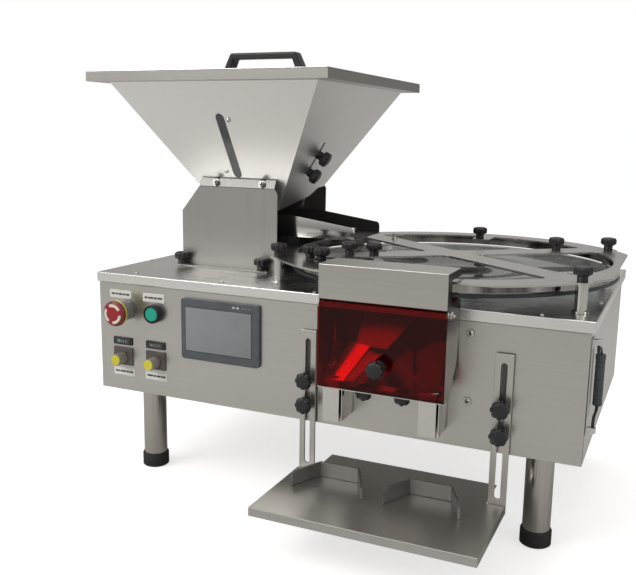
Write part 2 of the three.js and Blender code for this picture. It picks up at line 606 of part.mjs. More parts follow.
// ---------------------------------------------------------------- side carrying handle
function buildHandle() {
  const { x, y, reach, z0, z1, grip, wire } = HANDLE;
  const bend = 9;
  const stub = 3;
  const path = new THREE.CurvePath();
  const p = (dy, z) => at(x, y + dy, z);
  const highZ = z1 - stub - bend;
  const lowZ = z0 + stub + bend;
  path.add(new THREE.LineCurve3(p(0, z1 - GAP), p(0, z1 - stub)));
  path.add(new THREE.QuadraticBezierCurve3(p(0, z1 - stub), p(0, highZ), p(bend, highZ)));
  path.add(new THREE.LineCurve3(p(bend, highZ), p(reach - bend, highZ)));
  path.add(new THREE.QuadraticBezierCurve3(p(reach - bend, highZ), p(reach, highZ), p(reach, highZ - bend)));
  path.add(new THREE.LineCurve3(p(reach, highZ - bend), p(reach, lowZ + bend)));
  path.add(new THREE.QuadraticBezierCurve3(p(reach, lowZ + bend), p(reach, lowZ), p(reach - bend, lowZ)));
  path.add(new THREE.LineCurve3(p(reach - bend, lowZ), p(bend, lowZ)));
  path.add(new THREE.QuadraticBezierCurve3(p(bend, lowZ), p(0, lowZ), p(0, z0 + stub)));
  path.add(new THREE.LineCurve3(p(0, z0 + stub), p(0, z0 + GAP)));
  const section = new THREE.Shape();
  section.absarc(0, 0, wire, 0, 2 * Math.PI, false);
  const bail = new THREE.ExtrudeGeometry(section, { steps: 60, curveSegments: 4, extrudePath: path });
  const gripLow = lowZ + bend + 1;
  const gripHigh = highZ - bend - 1;
  const tube = rod(grip, gripHigh - gripLow, UP, p(reach, gripLow), 20);
  add('side_handle', toSolid(bail).add(tube), greyPlastic);

  const wall = TOP.width - CABINET.inset + GAP;
  const strip = block([wall, wall + SHEET], [y - 9, y + 9], [z0 - 9, z1 + 9]);
  const lugs = [[z0 - 7, z0], [z1, z1 + 7]].map((zs) => block([wall, x + 4], [y - 4, y + 4], zs));
  add('side_handle_bracket', joined(strip, ...lugs), blackPlastic);
}

buildCabinet();
buildLegs();
buildTurntable();
buildGuides();
buildHopper();
buildStand();
buildChute();
buildHead();
buildTray();
buildControls();
buildHandle();

// The origin is the middle of the machine's outline on the bench.
const leftmost = HOPPER.x - HOPPER.rim;
const rightmost = HANDLE.x + HANDLE.grip;
const rearmost = RING.y + RING.radius;
machine.position.set(-(leftmost + rightmost) / 2, -(TRAY.front + rearmost) / 2, 0);

export default machine;
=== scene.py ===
"""Looks of the capsule counting and bottle filling machine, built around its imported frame."""

import math

import bmesh
import bpy
from mathutils import Matrix, Vector


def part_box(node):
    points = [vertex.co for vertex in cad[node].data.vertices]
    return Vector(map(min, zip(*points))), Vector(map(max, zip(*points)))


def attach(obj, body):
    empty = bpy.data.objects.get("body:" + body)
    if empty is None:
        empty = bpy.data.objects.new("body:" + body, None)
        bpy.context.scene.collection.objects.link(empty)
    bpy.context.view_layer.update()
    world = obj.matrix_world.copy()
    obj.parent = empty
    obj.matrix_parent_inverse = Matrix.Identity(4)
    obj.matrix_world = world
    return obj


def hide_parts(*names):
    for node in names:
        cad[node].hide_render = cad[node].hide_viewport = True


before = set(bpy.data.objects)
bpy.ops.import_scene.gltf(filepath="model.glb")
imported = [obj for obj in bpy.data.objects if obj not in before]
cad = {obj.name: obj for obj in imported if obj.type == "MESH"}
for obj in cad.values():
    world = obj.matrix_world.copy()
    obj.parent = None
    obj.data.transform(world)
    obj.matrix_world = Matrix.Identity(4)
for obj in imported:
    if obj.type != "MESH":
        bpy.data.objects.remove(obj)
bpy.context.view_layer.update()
MM = 0.001
UP = Vector((0, 0, 1))
FRONT, REAR = Vector((0, -1, 0)), Vector((0, 1, 0))
LEFT, RIGHT = Vector((-1, 0, 0)), Vector((1, 0, 0))

# The drawing's own zero is the front left corner of the deck, on the bench.
deck_low, deck_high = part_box("top_plate")
DECK = deck_high.z / MM


def at(x, y, z):
    """A point of the drawing, in millimetres from the deck's front left corner."""
    return Vector((deck_low.x + x * MM, deck_low.y + y * MM, z * MM))


# ------------------------------------------------------------------ camera, light and floor
def set_camera():
    data = bpy.data.cameras.new("camera")
    data.sensor_width = 36.0
    data.lens = 46.72
    data.clip_end = 50
    camera = bpy.data.objects.new("camera", data)
    bpy.context.scene.collection.objects.link(camera)
    yaw, pitch, roll = (math.radians(a) for a in (24.22, 10.63, -0.89))
    ahead = Vector((-math.sin(yaw) * math.cos(pitch), math.cos(yaw) * math.cos(pitch), -math.sin(pitch)))
    level = Vector((math.cos(yaw), math.sin(yaw), 0))
    down = ahead.cross(level)
    across = math.cos(roll) * level + math.sin(roll) * down
    down = -math.sin(roll) * level + math.cos(roll) * down
    turn = Matrix((across, -down, -ahead)).transposed().to_4x4()
    camera.matrix_world = Matrix.Translation((0.47945, -1.2059, 0.5546)) @ turn
    bpy.context.scene.camera = camera


def softbox(name, place, aim, size, power):
    data = bpy.data.lights.new(name, "AREA")
    data.shape = "RECTANGLE"
    data.size, data.size_y = size
    data.energy = power
    lamp = bpy.data.objects.new(name, data)
    bpy.context.scene.collection.objects.link(lamp)
    lamp.location = place
    lamp.rotation_euler = (Vector(aim) - Vector(place)).to_track_quat("-Z", "Y").to_euler()
    lamp.visible_camera = False


def grey_ramp(tree, stops, fac):
    """A ramp of warm greys."""
    ramp = tree.nodes.new("ShaderNodeValToRGB")
    while len(ramp.color_ramp.elements) < len(stops):
        ramp.color_ramp.elements.new(0.5)
    for element, (place, grey) in zip(ramp.color_ramp.elements, stops):
        element.position = place
        element.color = (grey, grey * 0.99, grey * 0.97, 1)
    tree.links.new(fac, ramp.inputs["Fac"])
    return ramp.outputs["Color"]


def set_light():
    """A room with bright windows at the front left and front right and darker corners, behind white paper."""
    world = bpy.data.worlds.new("studio")
    bpy.context.scene.world = world
    world.use_nodes = True
    tree = world.node_tree
    tree.nodes.clear()
    direction = tree.nodes.new("ShaderNodeTexCoord")
    parts = tree.nodes.new("ShaderNodeSeparateXYZ")
    height = tree.nodes.new("ShaderNodeMapRange")
    height.inputs["From Min"].default_value = -1.0
    around = tree.nodes.new("ShaderNodeTexGradient")
    around.gradient_type = "RADIAL"
    tree.links.new(direction.outputs["Generated"], parts.inputs[0])
    tree.links.new(direction.outputs["Generated"], around.inputs["Vector"])
    tree.links.new(parts.outputs["Z"], height.inputs["Value"])
    upward = grey_ramp(tree, [(0.0, 0.45), (0.48, 0.42), (0.55, 0.55), (0.65, 0.8), (0.8, 0.95), (1.0, 1.0)],
                       height.outputs["Result"])
    sides = grey_ramp(tree, [(0.0, 0.62), (0.06, 0.9), (0.15, 1.0), (0.25, 0.72), (0.33, 0.95), (0.4, 0.85),
                             (0.5, 0.4), (0.62, 0.30), (0.72, 0.62), (0.8, 0.7), (0.9, 0.35), (1.0, 0.62)],
                      around.outputs["Fac"])
    both = tree.nodes.new("ShaderNodeMix")
    both.data_type = "RGBA"
    both.blend_type = "MULTIPLY"
    both.inputs["Factor"].default_value = 1.0
    tree.links.new(upward, both.inputs[6])
    tree.links.new(sides, both.inputs[7])
    room = tree.nodes.new("ShaderNodeBackground")
    room.inputs["Strength"].default_value = 1.0
    tree.links.new(both.outputs[2], room.inputs["Color"])
    paper = tree.nodes.new("ShaderNodeBackground")
    paper.inputs["Color"].default_value = (1, 1, 1, 1)
    seen = tree.nodes.new("ShaderNodeLightPath")
    choose = tree.nodes.new("ShaderNodeMixShader")
    out = tree.nodes.new("ShaderNodeOutputWorld")
    tree.links.new(seen.outputs["Is Camera Ray"], choose.inputs["Fac"])
    tree.links.new(room.outputs[0], choose.inputs[1])
    tree.links.new(paper.outputs[0], choose.inputs[2])
    tree.links.new(choose.outputs[0], out.inputs["Surface"])
    softbox("key", (-1.6, -1.9, 2.2), (0, 0, 0.35), (1.6, 1.2), 40)
    softbox("right", (2.6, -0.6, 1.3), (0, 0, 0.3), (1.0, 1.6), 8)
    softbox("overhead", (-0.2, 0.8, 2.6), (0, 0, 0.3), (2.2, 1.6), 24)
    bpy.context.scene.view_settings.view_transform = "Standard"


def set_floor():
    clear()
    bpy.ops.mesh.primitive_plane_add(size=9.0, location=(0, 0, -0.0005))
    floor = bpy.context.object
    floor.name = "floor"
    floor.data.materials.append(paper_floor())


# ------------------------------------------------------------------ finishes
def blank(name, roughness, metallic=0.0, **sockets):
    """A new material: its node tree and its shader."""
    made = bpy.data.materials.new(name)
    made.use_nodes = True
    shader = made.node_tree.nodes["Principled BSDF"]
    shader.inputs["Roughness"].default_value = roughness
    shader.inputs["Metallic"].default_value = metallic
    for socket, value in sockets.items():
        shader.inputs[socket.replace("_", " ")].default_value = value
    return made, made.node_tree, shader


def cloud(tree, scale, detail=4.0, grain=(1, 1, 1)):
    """Noise in the piece's own space, drawn out along the grain."""
    place = tree.nodes.new("ShaderNodeTexCoord")
    mapping = tree.nodes.new("ShaderNodeMapping")
    mapping.inputs["Scale"].default_value = grain
    noise = tree.nodes.new("ShaderNodeTexNoise")
    noise.inputs["Scale"].default_value = scale
    noise.inputs["Detail"].default_value = detail
    tree.links.new(place.outputs["Object"], mapping.inputs["Vector"])
    tree.links.new(mapping.outputs["Vector"], noise.inputs["Vector"])
    return noise.outputs["Fac"]


def shades(tree, shader, fac, dark, light, spread=(0.35, 0.65)):
    ramp = tree.nodes.new("ShaderNodeValToRGB")
    ramp.color_ramp.elements[0].position = spread[0]
    ramp.color_ramp.elements[0].color = (*dark, 1)
    ramp.color_ramp.elements[1].position = spread[1]
    ramp.color_ramp.elements[1].color = (*light, 1)
    tree.links.new(fac, ramp.inputs["Fac"])
    tree.links.new(ramp.outputs["Color"], shader.inputs["Base Color"])
    return ramp


def uneven_gloss(tree, shader, fac, low, high):
    gloss = tree.nodes.new("ShaderNodeMapRange")
    gloss.inputs["From Min"].default_value = 0.3
    gloss.inputs["From Max"].default_value = 0.7
    gloss.inputs["To Min"].default_value = low
    gloss.inputs["To Max"].default_value = high
    tree.links.new(fac, gloss.inputs["Value"])
    tree.links.new(gloss.outputs["Result"], shader.inputs["Roughness"])


def texture_bump(tree, shader, fac, depth, strength=0.3):
    bump = tree.nodes.new("ShaderNodeBump")
    bump.inputs["Strength"].default_value = strength
    bump.inputs["Distance"].default_value = depth
    tree.links.new(fac, bump.inputs["Height"])
    tree.links.new(bump.outputs["Normal"], shader.inputs["Normal"])


def steel(name, tone, grain, low=0.26, high=0.38, contrast=0.05, bump=0.00004):
    """Brushed stainless sheet: fine streaks along the grain, over faint handling marks."""
    made, tree, shader = blank(name, low, 1.0)
    streaks = cloud(tree, 1.0, 5.0, grain)
    dark = tuple(c * (1 - contrast) for c in tone)
    light = tuple(min(1, c * (1 + contrast)) for c in tone)
    shades(tree, shader, streaks, dark, light)
    marks = cloud(tree, 7.0, 2.0)
    blend = tree.nodes.new("ShaderNodeMath")
    blend.operation = "MULTIPLY_ADD"
    blend.inputs[1].default_value = 0.5
    half = tree.nodes.new("ShaderNodeMath")
    half.operation = "MULTIPLY"
    half.inputs[1].default_value = 0.5
    tree.links.new(marks, half.inputs[0])
    tree.links.new(streaks, blend.inputs[0])
    tree.links.new(half.outputs[0], blend.inputs[2])
    uneven_gloss(tree, shader, blend.outputs[0], low, high)
    texture_bump(tree, shader, streaks, bump)
    return made


def moulded(name, dark, light, roughness=0.42, scale=900.0, depth=0.00003):
    """Moulded plastic: a fine matt grain and a slight change of tone."""
    made, tree, shader = blank(name, roughness)
    shades(tree, shader, cloud(tree, 40.0, 3.0), dark, light)
    grain = cloud(tree, scale, 2.0)
    uneven_gloss(tree, shader, grain, roughness - 0.06, roughness + 0.08)
    texture_bump(tree, shader, grain, depth)
    return made


def paint_shade_zones(made, tone, *zones):
    """Paints a darker tone onto a sheet where all of its zones meet: painted shade and reflection.

    A zone is an axis, where it begins and where it is full.
    """
    tree = made.node_tree
    shader = tree.nodes["Principled BSDF"]
    plain = shader.inputs["Base Color"].links[0].from_socket
    place = tree.nodes.new("ShaderNodeTexCoord")
    parts = tree.nodes.new("ShaderNodeSeparateXYZ")
    tree.links.new(place.outputs["Object"], parts.inputs[0])
    shade_mask = None
    for axis, low, high in zones:
        mask = tree.nodes.new("ShaderNodeMapRange")
        mask.inputs["From Min"].default_value = low
        mask.inputs["From Max"].default_value = high
        tree.links.new(parts.outputs[axis], mask.inputs["Value"])
        if shade_mask is None:
            shade_mask = mask.outputs["Result"]
        else:
            both = tree.nodes.new("ShaderNodeMath")
            both.operation = "MULTIPLY"
            tree.links.new(shade_mask, both.inputs[0])
            tree.links.new(mask.outputs["Result"], both.inputs[1])
            shade_mask = both.outputs[0]
    mix = tree.nodes.new("ShaderNodeMix")
    mix.data_type = "RGBA"
    tree.links.new(shade_mask, mix.inputs["Factor"])
    tree.links.new(plain, mix.inputs[6])
    mix.inputs[7].default_value = (*tone, 1)
    tree.links.new(mix.outputs[2], shader.inputs["Base Color"])
    return made


def paper_floor():
    """White paper, lit from below where it is looked at directly, and soft grey in reflections."""
    made, tree, shader = blank("paper_floor", 0.9)
    shades(tree, shader, cloud(tree, 60.0, 3.0), (0.56, 0.555, 0.545), (0.58, 0.575, 0.565))
    glow = tree.nodes.new("ShaderNodeEmission")
    glow.inputs["Strength"].default_value = 0.66
    lit = tree.nodes.new("ShaderNodeAddShader")
    seen = tree.nodes.new("ShaderNodeLightPath")
    choose = tree.nodes.new("ShaderNodeMixShader")
    tree.links.new(shader.outputs[0], lit.inputs[0])
    tree.links.new(glow.outputs[0], lit.inputs[1])
    tree.links.new(seen.outputs["Is Camera Ray"], choose.inputs["Fac"])
    tree.links.new(shader.outputs[0], choose.inputs[1])
    tree.links.new(lit.outputs[0], choose.inputs[2])
    tree.links.new(choose.outputs[0], tree.nodes["Material Output"].inputs["Surface"])
    return made


def red_sheet():
    """Clear red acrylic with a slightly uneven polish."""
    made, tree, shader = blank("red_acrylic", 0.03, IOR=1.25, Transmission_Weight=0.98)
    faint = cloud(tree, 9.0, 2.0)
    shades(tree, shader, faint, (0.40, 0.001, 0.004), (0.46, 0.002, 0.006))
    uneven_gloss(tree, shader, faint, 0.02, 0.05)
    return made


def clear_disc():
    """Clear glass with the faint green of its iron, which shows darkest at the edge."""
    made, tree, shader = blank("clear_disc", 0.03, IOR=1.5, Transmission_Weight=0.97)
    faint = cloud(tree, 14.0, 3.0)
    shades(tree, shader, faint, (0.36, 0.385, 0.39), (0.42, 0.445, 0.45))
    uneven_gloss(tree, shader, faint, 0.02, 0.06)
    return made


ALONG_X, ALONG_Y, ALONG_Z = (6, 240, 240), (240, 6, 240), (240, 240, 6)
# Brushed sheet: its lowest and highest roughness, contrast and relief.
SHEET = (0.28, 0.38, 0.02, 0.00002)
panel_steel = steel("panel_steel", (0.525, 0.51, 0.485), ALONG_X, *SHEET)
side_steel = steel("side_steel", (0.66, 0.65, 0.63), ALONG_Y, *SHEET)
deck_steel = steel("deck_steel", (0.78, 0.77, 0.75), ALONG_X, 0.22, 0.32, 0.02, 0.00002)
hopper_steel = steel("hopper_steel", (0.78, 0.77, 0.75), ALONG_Z, 0.42, 0.48, 0.008, 0.000006)
ring_steel = steel("ring_steel", (0.56, 0.55, 0.53), ALONG_X, 0.2, 0.3, 0.02, 0.00002)
bright_steel = steel("bright_steel", (0.60, 0.59, 0.565), (160, 160, 160), 0.10, 0.17, 0.015, 0.00001)
stand_steel = steel("stand_steel", (0.42, 0.41, 0.395), ALONG_Z, 0.3, 0.4, 0.015, 0.00002)
tray_steel = steel("tray_steel", (0.49, 0.478, 0.458), ALONG_X, 0.26, 0.38, 0.03, 0.00003)
leg_steel = steel("leg_steel", (0.46, 0.435, 0.40), (260, 260, 4), 0.12, 0.2, 0.04, 0.00002)
locator_steel = steel("locator_steel", (0.27, 0.262, 0.25), ALONG_Z, 0.35, 0.5, 0.04)
dark_steel = steel("dark_steel", (0.16, 0.155, 0.15), ALONG_X, 0.35, 0.5)
dull_plate = steel("dull_plate", (0.30, 0.29, 0.28), ALONG_X, 0.3, 0.4)
# Near-black steel painted as shade: under the dome bolts' washers, inside the head and behind the tray arms'
# slots.
painted_shade_steel = steel("painted_shade_steel", (0.10, 0.098, 0.095), ALONG_X, 0.4, 0.5)
knob_black = moulded("knob_black", (0.008, 0.008, 0.009), (0.014, 0.014, 0.016), 0.38)
rubber_black = moulded("rubber_black", (0.010, 0.010, 0.010), (0.018, 0.018, 0.018), 0.7, 500.0, 0.00008)
grip_grey = moulded("grip_grey", (0.038, 0.046, 0.052), (0.060, 0.070, 0.077), 0.45)
bezel_grey = moulded("bezel_grey", (0.062, 0.075, 0.085), (0.078, 0.092, 0.103), 0.4)
screen_grey = moulded("screen_grey", (0.215, 0.235, 0.243), (0.226, 0.246, 0.254), 0.2, 700.0, 0.000003)
band_steel = steel("band_steel", (0.30, 0.29, 0.275), (26, 26, 2), 0.06, 0.14, 0.75, 0.000006)
motor_grey = moulded("motor_grey", (0.03, 0.033, 0.036), (0.05, 0.054, 0.058), 0.55, 300.0, 0.0001)
red_plastic = moulded("red_plastic", (0.26, 0.006, 0.012), (0.34, 0.010, 0.018), 0.25)
dull_red = moulded("dull_red", (0.13, 0.020, 0.022), (0.18, 0.03, 0.03), 0.3)
yellow_plastic = moulded("yellow_plastic", (0.58, 0.50, 0.03), (0.68, 0.60, 0.05), 0.4)
green_plastic = moulded("green_plastic", (0.004, 0.30, 0.20), (0.008, 0.36, 0.25), 0.35)
white_label = moulded("white_label", (0.66, 0.65, 0.62), (0.74, 0.73, 0.70), 0.5)
cream_mark = moulded("cream_mark", (0.62, 0.60, 0.52), (0.70, 0.68, 0.60), 0.4)
label_ink = moulded("label_ink", (0.05, 0.05, 0.055), (0.08, 0.08, 0.085), 0.6)
sight_grey = moulded("sight_grey", (0.035, 0.04, 0.044), (0.06, 0.066, 0.072), 0.2)
plate_dark = moulded("plate_dark", (0.07, 0.062, 0.055), (0.105, 0.095, 0.085), 0.35)
knob_grey = moulded("knob_grey", (0.13, 0.125, 0.12), (0.19, 0.185, 0.175), 0.4)
skirt_grey = moulded("skirt_grey", (0.22, 0.20, 0.18), (0.30, 0.275, 0.25), 0.35)
display_grey = moulded("display_grey", (0.035, 0.045, 0.045), (0.05, 0.06, 0.06), 0.2)
digit_green = moulded("digit_green", (0.10, 0.28, 0.24), (0.14, 0.34, 0.29), 0.3)
hood_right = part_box("counting_hood")[1].x
hood_steel = steel("hood_steel", (0.50, 0.485, 0.46), ALONG_X, *SHEET)
# Painted shade and reflection: darker tones on the upper part of the hood's right cheek, the hopper's rim and
# the stand's flange.
paint_shade_zones(hood_steel, (0.07, 0.066, 0.06), ("X", hood_right - 1.4 * MM, hood_right - 0.6 * MM),
      ("Z", 300 * MM, 325 * MM))
paint_shade_zones(hopper_steel, (0.45, 0.437, 0.415), ("Z", 627.2 * MM, 627.9 * MM))
paint_shade_zones(stand_steel, (0.14, 0.137, 0.13), ("Z", 464.6 * MM, 465.4 * MM))
red_acrylic = red_sheet()
disc_glass = clear_disc()
disc_edge = moulded("disc_edge", (0.014, 0.026, 0.030), (0.024, 0.040, 0.046), 0.35)


# ------------------------------------------------------------------ the maker's tools
def clear():
    """Leaves nothing selected, in object mode."""
    if bpy.context.object and bpy.context.object.mode != "OBJECT":
        bpy.ops.object.mode_set(mode="OBJECT")
    bpy.ops.object.select_all(action="DESELECT")


def only(piece):
    clear()
    piece.select_set(True)
    bpy.context.view_layer.objects.active = piece


def open_edit(piece, kind="FACE"):
    only(piece)
    bpy.ops.object.mode_set(mode="EDIT")
    bpy.ops.mesh.select_mode(type=kind)
    bpy.ops.mesh.select_all(action="DESELECT")


def pick(piece, test, kind="FACE"):
    """Selects, in edit mode, the faces, edges or points whose middle passes the test."""
    open_edit(piece, kind)
    mesh = bmesh.from_edit_mesh(piece.data)
    sets = {"FACE": mesh.faces, "EDGE": mesh.edges, "VERT": mesh.verts}
    for part in sets[kind]:
        middle = part.co if kind == "VERT" else sum((v.co for v in part.verts), Vector()) / len(part.verts)
        part.select_set(bool(test(middle, part)))
    mesh.select_flush_mode()
    bmesh.update_edit_mesh(piece.data)


def set_down():
    bpy.ops.object.mode_set(mode="OBJECT")


def recalculate(piece):
    open_edit(piece)
    bpy.ops.mesh.select_all(action="SELECT")
    bpy.ops.mesh.remove_doubles(threshold=1e-6)
    bpy.ops.mesh.normals_make_consistent(inside=False)
    set_down()


def apply(piece, kind, **settings):
    modifier = piece.modifiers.new(kind.lower(), kind)
    for key, value in settings.items():
        setattr(modifier, key, value)
    only(piece)
    bpy.ops.object.modifier_apply(modifier=modifier.name)


def soften(piece, width, segments=2, angle=35):
    apply(piece, "BEVEL", width=width * MM, segments=segments, limit_method="ANGLE",
          angle_limit=math.radians(angle), use_clamp_overlap=True)


def smooth(piece, angle=35):
    only(piece)
    bpy.ops.object.shade_smooth_by_angle(angle=math.radians(angle))


def settle(piece, name, material, body="machine", replaces=()):
    """Names a finished piece, gives it its finish and puts it on its body."""
    smooth(piece)
    piece.name = name
    piece.data.name = name
    if not piece.data.materials:
        piece.data.materials.append(material)
    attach(piece, body)
    if replaces:
        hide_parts(*replaces)
    return piece


def cube(low, high):
    clear()
    low, high = Vector(low), Vector(high)
    bpy.ops.mesh.primitive_cube_add(size=1, location=(low + high) / 2, scale=high - low)
    piece = bpy.context.object
    bpy.ops.object.transform_apply(location=True, rotation=True, scale=True)
    return piece


def turned(stations, sides=40):
    """A piece turned about +Z: each station is its radius and its height, in millimetres."""
    clear()
    (radius, height), *rest = stations
    bpy.ops.mesh.primitive_circle_add(vertices=sides, radius=radius * MM, fill_type="NGON",
                                      location=(0, 0, height * MM))
    piece = bpy.context.object
    bpy.ops.object.transform_apply(location=True, rotation=True, scale=True)
    open_edit(piece)
    bpy.ops.mesh.select_all(action="SELECT")
    for new_radius, new_height in rest:
        rise = (0, 0, (new_height - height) * MM)
        bpy.ops.mesh.extrude_region_move(TRANSFORM_OT_translate={"value": rise})
        share = new_radius / radius
        bpy.ops.transform.resize(value=(share, share, 1), center_override=(0, 0, new_height * MM))
        radius, height = new_radius, new_height
    set_down()
    recalculate(piece)
    return piece


def aimed(piece, direction, place, turn=0.0):
    """Stands a piece made about +Z along a direction, with its foot at a place."""
    turned_to = Vector(direction).to_track_quat("Z", "Y").to_matrix().to_4x4()
    piece.data.transform(Matrix.Translation(place) @ turned_to @ Matrix.Rotation(turn, 4, "Z"))
    piece.data.update()
    return piece


def twin(piece):
    """A copy with its own mesh."""
    copy = piece.copy()
    copy.data = piece.data.copy()
    bpy.context.scene.collection.objects.link(copy)
    return copy


def together(pieces):
    clear()
    for piece in pieces:
        piece.select_set(True)
    bpy.context.view_layer.objects.active = pieces[0]
    bpy.ops.object.join()
    return bpy.context.object


def coat(piece, material):
    piece.data.materials.clear()
    piece.data.materials.append(material)
    return piece


def ease(name, width, segments=2):
    """Eases the edges of a sheet metal or moulded node, on a welded and cleaned copy of its skin."""
    node = cad[name]
    weld = node.modifiers.new("weld", "WELD")
    weld.merge_threshold = 1e-5
    flat = node.modifiers.new("flat", "DECIMATE")
    flat.decimate_type = "DISSOLVE"
    flat.angle_limit = math.radians(0.5)
    edge = node.modifiers.new("edge", "BEVEL")
    edge.width = width * MM
    edge.segments = segments
    edge.limit_method = "ANGLE"
    edge.angle_limit = math.radians(40)
    edge.use_clamp_overlap = True
    level = node.modifiers.new("level", "WEIGHTED_NORMAL")
    level.keep_sharp = True


def dress(material, *names, edge=0.0, segments=2):
    for name in names:
        node = cad[name]
        node.data.materials.clear()
        node.data.materials.append(material)
        if edge:
            ease(name, edge, segments)


# ------------------------------------------------------------------ repeated small parts
def make_star_knob():
    """An eight-lobed clamp knob with a domed head on a round neck."""
    profile = [(7, 0), (7, 7), (10.4, 8.6), (12.4, 10.2), (12.4, 16.6), (10.6, 19), (6, 20), (2, 20.2)]
    piece = turned(profile, 32)
    step = 2 * math.pi / 32

    def in_valley(point, _part):
        radius = math.hypot(point.x, point.y)
        index = round(math.atan2(point.y, point.x) / step) % 4
        return radius > 10 * MM and index == 2

    pick(piece, in_valley, "VERT")
    bpy.ops.transform.resize(value=(0.84, 0.84, 1), center_override=(0, 0, 0))
    set_down()
    soften(piece, 0.8, 2, 30)
    return coat(piece, knob_black)


def make_washer():
    piece = turned([(9, 0), (9, 1.2), (4, 1.2)], 32)
    soften(piece, 0.25, 1)
    return coat(piece, bright_steel)


def make_pan_screw():
    piece = turned([(3.4, 0), (3.4, 0.7), (2.7, 1.6), (1.3, 2.0), (1.0, 0.9), (0.4, 0.8)], 20)
    return coat(piece, bright_steel)


def make_dome_bolt():
    """A domed bolt head on its washer, with a drive recess whose black floor is painted shade, and a dark
    ring under the washer painted as its shadow.
    """
    washer = turned([(5.2, 0), (5.2, 0.9), (3.9, 0.9)], 28)
    head = turned([(3.8, 0.9), (3.8, 1.6), (3.2, 2.9), (2.3, 3.5), (2.1, 3.3), (2.0, 1.8)], 28)
    parts = [coat(washer, bright_steel), coat(head, bright_steel)]
    # Painted shade: a black floor in the drive recess and a dark ring round the washer's foot.
    parts.append(coat(turned([(1.9, 1.7), (1.9, 2.2)], 6), knob_black))
    parts.append(coat(turned([(5.9, 0), (5.9, 0.35), (5.1, 0.35)], 28), painted_shade_steel))
    return together(parts)


def make_hex_bolt():
    """A washer, a hexagon nut and the bolt's rounded end."""
    washer = turned([(6.2, 0), (6.2, 1.1), (3, 1.1)], 28)
    nut = turned([(4.9, 1.1), (5.2, 1.5), (5.2, 4.6), (4.8, 5.1)], 6)
    end = turned([(2.9, 4.9), (2.9, 7.4), (2.2, 8.2)], 18)
    return coat(together([washer, nut, end]), bright_steel)


star_knob = make_star_knob()
washer = make_washer()
pan_screw = make_pan_screw()
dome_bolt = make_dome_bolt()
hex_bolt = make_hex_bolt()
masters = [star_knob, washer, pan_screw, dome_bolt, hex_bolt]


def fit(master, name, place, direction, body="machine", turn=0.0, replaces=()):
    """A copy of a small part in its place."""
    piece = aimed(twin(master), direction, place, turn)
    return settle(piece, name, None, body, replaces)


# ------------------------------------------------------------------ cabinet and legs
def cabinet():
    dress(deck_steel, "top_plate", edge=1.2)
    dress(panel_steel, "front_panel", "rear_panel", "base_plate")
    dress(side_steel, "left_side_panel", "right_side_panel", edge=0.5)
    spots = [(62.5, 20.5), (8, 134), (221.5, 14.2), (377, 9.6), (692, 11.6), (751, 130),
             (8, 322), (751, 322), (62.5, 447), (221.5, 447), (538, 447), (697, 447)]
    for i, (x, y) in enumerate(spots):
        fit(pan_screw, f"deck_screw_{i + 1}", at(x, y, DECK), UP)
    for i, z in enumerate((301, 208.5)):
        fit(dome_bolt, f"panel_bolt_{i + 1}", at(605, 0, z), FRONT)
    # A black strip in the corner gap between the front and right side panels: painted shade.
    gap_shade = cube(at(754.4, 1.3, 147), at(755.25, 2.7, 290))
    soften(gap_shade, 0.2, 1)
    settle(coat(gap_shade, rubber_black), "corner_gap_shade", None)
    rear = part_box("rear_panel")[1].y
    for i, x in enumerate((40, 380, 720)):
        for j, z in enumerate((160, 305)):
            spot = at(x, 0, z)
            spot.y = rear
            fit(pan_screw, f"rear_screw_{2 * i + j + 1}", spot, REAR)


def legs():
    tube = coat(turned([(19, 20), (19, 145.4), (17.5, 145.4), (17.5, 30)], 48), leg_steel)
    foot = turned([(19.5, 0), (21.5, 1.6), (21.5, 20.5), (20.6, 22.6), (19.15, 23), (19.15, 19)], 48)
    coat(foot, rubber_black)
    for row, y in (("front", 59), ("rear", 397)):
        for side, x in (("left", 64), ("right", 696)):
            node = f"leg_{row}_{side}"
            fit(tube, f"{node}_tube", at(x, y, 0), UP, replaces=(node,))
            fit(foot, f"{node}_foot", at(x, y, 0), UP)
    masters.extend([tube, foot])


# ------------------------------------------------------------------ turntable
RING = Vector((516.5, 217))
RING_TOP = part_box("ring_plate")[1].z / MM


def turntable():
    dress(ring_steel, "ring_plate", edge=0.4)
    dress(bright_steel, "drive_shaft")
    dress(motor_grey, "turntable_gearmotor", edge=1.0)
    profile = [(247, 350), (249.2, 350.3), (250, 351.2), (250, 354.8), (249.2, 355.7), (247, 356),
               (60, 356.0), (58, 355.6)]
    disc = turned(profile, 160)
    coat(disc, disc_glass)
    disc.data.materials.append(disc_edge)
    for face in disc.data.polygons:
        if abs(face.normal.z) < 0.8:
            face.material_index = 1
    aimed(disc, UP, at(RING.x, RING.y, 0))
    settle(disc, "counting_disc", None, "turntable", ("turntable_disc",))
    clear()
    bpy.ops.mesh.primitive_cylinder_add(vertices=192, radius=249.4 * MM, depth=12.6 * MM,
                                        end_fill_type="NOTHING", location=at(RING.x, RING.y, 363.3))
    band = bpy.context.object
    bpy.ops.object.transform_apply(location=True, rotation=True, scale=True)
    hood_low, hood_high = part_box("counting_hood")
    pick(band, lambda p, _f: p.y < at(0, 60, 0).y and hood_low.x + 0.008 < p.x < hood_high.x - 0.008)
    bpy.ops.mesh.delete(type="FACE")
    set_down()
    apply(band, "SOLIDIFY", thickness=1.4 * MM, offset=-1)
    settle(coat(band, band_steel), "guard_band_sheet", None, replaces=("guard_band",))

    profile = [(11, 332.3), (11, 335), (8, 336), (8, 366.5), (9.5, 367), (9.5, 369.7)]
    post = coat(turned(profile, 36), bright_steel)
    masters.append(post)
    for row, y in (("front", 50), ("rear", 384)):
        for side, x in (("left", RING.x - 217.5), ("right", RING.x + 217.5)):
            fit(post, f"post_{row}_{side}_turned", at(x, y, 0), UP,
                replaces=(f"post_{row}_{side}",))
            fit(star_knob, f"post_knob_{row}_{side}", at(x, y, RING_TOP), UP, turn=0.2)


